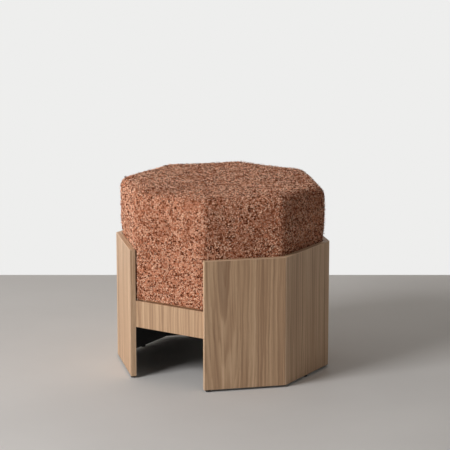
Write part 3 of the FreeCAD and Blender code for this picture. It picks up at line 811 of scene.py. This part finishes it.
def yarn_slub():
    """One short thick place in the yarn, lying along the ground."""
    shape = bmesh.new()
    bmesh.ops.create_uvsphere(shape, u_segments=4, v_segments=2, radius=SLUB_RADIUS)
    bmesh.ops.scale(shape, vec=(1, 1, SLUB_STRETCH), verts=shape.verts)
    lay_down = Matrix.Rotation(math.pi / 2, 3, "X")
    bmesh.ops.rotate(shape, cent=(0, 0, 0), matrix=lay_down, verts=shape.verts)
    mesh = to_mesh("yarn_slub", shape)
    smooth(mesh)
    return mesh


def strand_place(point, normal, chance):
    """Where a curl or slub stands on the ground: shifted, raised, turned and tipped by chance."""
    turn = normal.to_track_quat("Z", "Y").to_matrix().to_4x4()
    rise = STRAY_RISE if chance.random() < STRAY_SHARE else CURL_RISE
    right = chance.uniform(-1, 1) * CURL_JITTER
    ahead = chance.uniform(-1, 1) * CURL_JITTER
    shift = Matrix.Translation((right, ahead, chance.random() * rise))
    spin = Matrix.Rotation(chance.uniform(0, 2 * math.pi), 4, "Z")
    tip = Matrix.Rotation(chance.uniform(0, CURL_TIP), 4, "X")
    roll = Matrix.Rotation(chance.uniform(0, 2 * math.pi), 4, "Z")
    scale = chance.uniform(*CURL_SIZES)
    size = Matrix.Diagonal((scale, scale, scale * CURL_FLATNESS, 1))
    return Matrix.Translation(point) @ turn @ shift @ spin @ tip @ roll @ size


def shows(point):
    """Whether the cover shows here, so that it needs its pile."""
    if in_gap(point):
        return point.z > SEAT_BASE + BARE_ABOVE_RAIL
    return point.z > SHELL_TOP


def clump(ground, face):
    """The middle of a face of the ground, for a curl, and a corner and two edges of it, for slubs."""
    first, second, *_, last = (ground.vertices[number].co for number in face.vertices)
    return face.center.copy(), [first.copy(), (first + second) / 2, (first + last) / 2]


def pile(ground, material):
    """The curls and slubs, in one piece for each side and its share of the top.

    Each face of the ground holds as many as its area asks for, so that they stand equally close on every
    side, and most in a clump share one tone.
    """
    chance = random.Random(PILE_SEED)
    curl, slub = yarn_curl(), yarn_slub()
    tones = {strand: strand.attributes.new("tone", "FLOAT", "POINT") for strand in (curl, slub)}
    shapes = {side: bmesh.new() for side in SIDES}
    for face in ground.polygons:
        share = face.area / REMESH_SIZE ** 2 * (1 - BARE_SHARE)
        shared_tone = chance.random()
        middle, others = clump(ground, face)
        for strand, point in [(curl, middle)] + [(slub, other) for other in others]:
            if shows(point) and chance.random() < share:
                tone = shared_tone if chance.random() < CLUMP_SHARE else chance.random()
                tones[strand].data.foreach_set("value", [tone] * len(strand.vertices))
                stamp(shapes[side_of(point)], strand, strand_place(point, face.normal, chance))
    for side, shape in shapes.items():
        name = f"boucle_pile_{side}"
        new_piece(name, to_mesh(name, shape), material)


def foam_piece(name, node, edge, material):
    """A cut foam block with softened edges, where the frame has it."""
    low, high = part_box(node)
    shape = octagon_block(high.x, low.z, high.z)
    bevel(shape, upright_edges(shape) + level_edges(shape, high.z), edge, segments=3)
    piece = new_piece(name, to_mesh(name, shape), material)
    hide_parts(node)


def fibre_layer(material):
    """The wadding between foam and cover, open underneath."""
    top = GROUND_TOP - WRAP_GAP
    shape = octagon_block(GROUND_REACH - WRAP_GAP, BOARD_TOP, top)
    bevel(shape, upright_edges(shape), SEAT_CORNER_CUT, segments=3)
    bevel(shape, level_edges(shape, top), SEAT_SHOULDER_RADIUS, segments=4)
    underside = [face for face in shape.faces if face.normal.z < -0.9]
    bmesh.ops.delete(shape, geom=underside, context="FACES_ONLY")
    mesh = to_mesh("fibre_wadding", shape)
    settle_corner(mesh)
    piece = new_piece("fibre_wadding", mesh, material)
    add_wall(piece, WRAP_THICKNESS)
    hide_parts("fibre_wrap")


def add_wall(piece, thickness):
    """Gives a sheet its thickness, inwards."""
    wall = piece.modifiers.new("Solidify", "SOLIDIFY")
    wall.thickness = thickness
    wall.offset = -1


def dust_cover(material):
    """The cloth under the seat: an octagon cut from a square, held at its edge and sagging a little."""
    shape = bmesh.new()
    bmesh.ops.create_grid(shape, x_segments=DUST_COVER_CELLS, y_segments=DUST_COVER_CELLS,
                          size=DUST_COVER_REACH, matrix=Matrix.Translation((0, 0, DUST_COVER_TOP)))
    for corner in (45, 135, 225, 315):
        cut(shape, bearing(corner) * DUST_COVER_REACH, bearing(corner), clear_outer=True)
    for vert in shape.verts:
        inward = max(0.0, 1 - (vert.co.xy.length / DUST_COVER_REACH) ** 2)
        ripple = 1 + RIPPLE_SHARE * noise.noise(vert.co / RIPPLE_SIZE)
        vert.co.z -= DUST_COVER_SAG * inward ** SAG_POWER * ripple
    bmesh.ops.reverse_faces(shape, faces=shape.faces)
    cloth = new_piece("dust_cover_cloth", to_mesh("dust_cover_cloth", shape), material)
    add_wall(cloth, DUST_CLOTH_THICKNESS)
    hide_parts("dust_cover")


def made_of(kind, made):
    """The edges or the corners among what an operator made."""
    return [item for item in made if isinstance(item, kind)]


def staple():
    """A wire staple's crown with its two bent ends, lying along x."""
    shape = bmesh.new()
    leg = Matrix.Translation((-STAPLE_WIDTH / 2, 0, STAPLE_BEND))
    wire = bmesh.ops.create_circle(shape, segments=STAPLE_WIRE_SIDES, radius=STAPLE_WIRE,
                                   matrix=leg)["verts"]
    ring = list({edge for vert in wire for edge in vert.link_edges})
    bend = {"axis": (0, -1, 0), "angle": math.pi / 2, "steps": STAPLE_BEND_STEPS}
    corner = Vector((-STAPLE_WIDTH / 2 + STAPLE_BEND, 0, STAPLE_BEND))
    bent = bmesh.ops.spin(shape, geom=ring + wire, cent=corner, **bend)["geom_last"]
    crown = bmesh.ops.extrude_edge_only(shape, edges=made_of(bmesh.types.BMEdge, bent))["geom"]
    verts = made_of(bmesh.types.BMVert, crown)
    bmesh.ops.translate(shape, verts=verts, vec=(STAPLE_WIDTH - 2 * STAPLE_BEND, 0, 0))
    corner = Vector((STAPLE_WIDTH / 2 - STAPLE_BEND, 0, STAPLE_BEND))
    bmesh.ops.spin(shape, geom=made_of(bmesh.types.BMEdge, crown) + verts, cent=corner, **bend)
    bmesh.ops.recalc_face_normals(shape, faces=shape.faces)
    return to_mesh("staple", shape)


def staples(material):
    """The staples along the dust cover's edge."""
    wire = staple()
    shape = bmesh.new()
    half_side = DUST_COVER_REACH * math.tan(HALF_EIGHTH)
    reach = DUST_COVER_REACH - STAPLE_INSET
    for angle in SIDES.values():
        turn = Matrix.Rotation(math.radians(angle), 4, "Z")
        for number in range(STAPLES_PER_SIDE):
            along = half_side * (2 * (number + 0.5) / STAPLES_PER_SIDE - 1)
            stamp(shape, wire, turn @ Matrix.Translation((along, -reach, DUST_COVER_BASE - STAPLE_WIRE)))
    new_piece("dust_cover_staples", to_mesh("dust_cover_staples", shape), material)


def paint(node, material):
    """Gives a node of the frame its finish."""
    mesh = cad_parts[node].data
    mesh.materials.clear()
    mesh.materials.append(material)


# Each side's leaf of veneer: where its flame figure lies across it, the height at which that closes,
# how pale the leaf is, with painted light lifting the shaded right front and right side, and how
# strongly it is striped
FIGURES = {
    "front": (0.310, 0.40, 0.03, 0.5),
    "right_front": (-0.046, 0.40, 0.12, 0.75),
    "right_side": (0.260, 0.40, 0.10, 0.6),
    "right_rear": (0.035, 0.44, 0.0, 0.7),
    "rear": (-0.300, 0.40, 0.0, 0.6),
    "left_rear": (-0.240, 0.40, 0.04, 0.7),
    "left_side": (0.050, 0.38, 0.02, 0.7),
    "left_front": (-0.260, 0.40, 0.02, 0.65),
}
LEAF_SEED_STEP = 1.7


def paint_wood():
    for number, (side, angle) in enumerate(SIDES.items()):
        seed = LEAF_SEED_STEP * number
        if side in GAP_SIDES:
            paint(f"{side}_rail", veneer(f"veneer_{side}_rail", angle, RAIL_INNER, *FIGURES[side], seed))
            paint(f"{side}_rail_splines", plywood(f"plywood_{side}_rail"))
            continue
        paint(f"{side}_panel", veneer(f"veneer_{side}", angle, SHELL_INNER, *FIGURES[side], seed))
        paint(f"{side}_top_band", edge_veneer(f"top_edge_{side}", angle, True, seed))
        paint(f"{side}_cleat", softwood(f"softwood_{side}", angle))
        if f"{side}_end_band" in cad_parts:
            paint(f"{side}_end_band", edge_veneer(f"end_edge_{side}", angle, False, seed))
        if f"{side}_spline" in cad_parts:
            paint(f"{side}_spline", plywood(f"plywood_{side}"))
    paint("seat_board", plywood("plywood_board"))


def fit_hardware():
    plating = zinc("zinc_plating")
    for node in ("cleat_screws", "seat_bolts", "seat_inserts"):
        paint(node, plating)
    staples(plating)
    paint("floor_glides", glide_plastic("glide_plastic"))


def upholster():
    ground = seat_ground()
    pile(ground, boucle_pile("boucle_pile"))
    seat_cover(ground, boucle_ground("boucle_ground"))
    foam_piece("foam_core_block", "foam_core", FOAM_EDGE, foam("core_foam", *CORE_FOAM))
    foam_piece("foam_topper_slab", "foam_topper", TOPPER_EDGE, foam("topper_foam", *TOPPER_FOAM))
    fibre_layer(fibre_felt("fibre_felt"))
    dust_cover(dust_cloth("dust_cloth"))


# The studio

FLOOR_SHADE = srgb(211, 209, 208)
FLOOR_PALE = srgb(218, 216, 215)
BACKDROP = srgb(238, 238, 237)
SURROUND = srgb(255, 248, 238)


def floor_finish(name):
    """A plain pale floor, faintly clouded."""
    floor = new_finish(name)
    cloud = floor.noise(floor.place(), 2.3, 4)
    return floor.surface({
        "Base Color": floor.ramp(cloud, (0.3, FLOOR_SHADE), (0.7, FLOOR_PALE)),
        "Roughness": 0.62 + 0.1 * cloud,
        "Specular IOR Level": 0.25,
    })


def lay_floor():
    """A plain floor that ends square to the camera's heading, a little behind the pouf."""
    shape = bmesh.new()
    turn = Matrix.Rotation(math.radians(CAMERA_HEADING), 4, "Z")
    middle = Matrix.Translation((0, (FLOOR_BEHIND - FLOOR_AHEAD) / 2, 0))
    size = Matrix.Diagonal((FLOOR_HALF_WIDTH, (FLOOR_BEHIND + FLOOR_AHEAD) / 2, 1, 1))
    bmesh.ops.create_grid(shape, x_segments=1, y_segments=1, size=1, matrix=turn @ middle @ size)
    floor = bpy.data.objects.new("floor", to_mesh("floor", shape))
    bpy.context.scene.collection.objects.link(floor)
    floor.data.materials.append(floor_finish("floor"))


def hang_key():
    """A soft square lamp on the camera's left, which lights a surface facing it at its level."""
    elevation = math.radians(KEY_ELEVATION)
    towards = bearing(KEY_AZIMUTH) * math.cos(elevation) + Vector((0, 0, math.sin(elevation)))
    lamp = bpy.data.lights.new("key", "AREA")
    lamp.size = KEY_SIZE
    lamp.energy = KEY_LEVEL * (math.pi * KEY_DISTANCE) ** 2
    lamp.color = KEY_COLOR
    holder = bpy.data.objects.new("key", lamp)
    holder.location = KEY_TARGET + towards * KEY_DISTANCE
    holder.rotation_euler = towards.to_track_quat("Z", "Y").to_euler()
    bpy.context.scene.collection.objects.link(holder)


def light_surround():
    """A dim surround with a pale wall behind and a low window on the left, seen as a plain backdrop."""
    world = bpy.data.worlds.new("surround")
    bpy.context.scene.world = world
    sky = Finish(world)
    rays = ("Camera", "Glossy", "Transmission")
    camera, glossy, through = (sky.add("ShaderNodeLightPath", output=f"Is {ray} Ray") for ray in rays)
    seen = sky.math("MAXIMUM", camera, sky.math("MAXIMUM", glossy, through))
    direction = sky.add("ShaderNodeTexCoord", output="Generated")
    up = sky.split(direction)[2]
    behind = sky.dot(direction, -bearing(CAMERA_HEADING))
    aside = sky.dot(direction, bearing(WINDOW_AZIMUTH))
    wall = WALL_LEVEL * sky.step(behind, *WALL_SPREAD)
    window = WINDOW_LEVEL * sky.step(aside, *WINDOW_SPREAD) * (1 - sky.step(up, *WINDOW_HEIGHT))
    level = FILL_LEVEL + wall + window
    fill = sky.add("ShaderNodeBackground", {}, {"Color": SURROUND, "Strength": level})
    backdrop = sky.add("ShaderNodeBackground", {}, {"Color": BACKDROP, "Strength": 1.0})
    mixed = sky.add("ShaderNodeMixShader", {}, {0: seen, 1: fill, 2: backdrop})
    sky.add("ShaderNodeOutputWorld", {}, {"Surface": mixed})


def set_camera():
    lens = bpy.data.cameras.new("camera")
    lens.sensor_width = SENSOR_WIDTH
    lens.lens = CAMERA_LENS
    camera = bpy.data.objects.new("camera", lens)
    camera.location = bearing(CAMERA_AZIMUTH) * CAMERA_DISTANCE + Vector((0, 0, CAMERA_HEIGHT))
    camera.rotation_euler = (math.radians(90 - CAMERA_PITCH), 0, math.radians(CAMERA_HEADING))
    bpy.context.scene.collection.objects.link(camera)
    bpy.context.scene.camera = camera


set_camera()
hang_key()
light_surround()
lay_floor()
paint_wood()
upholster()
fit_hardware()
bpy.context.scene.view_settings.view_transform = "Standard"
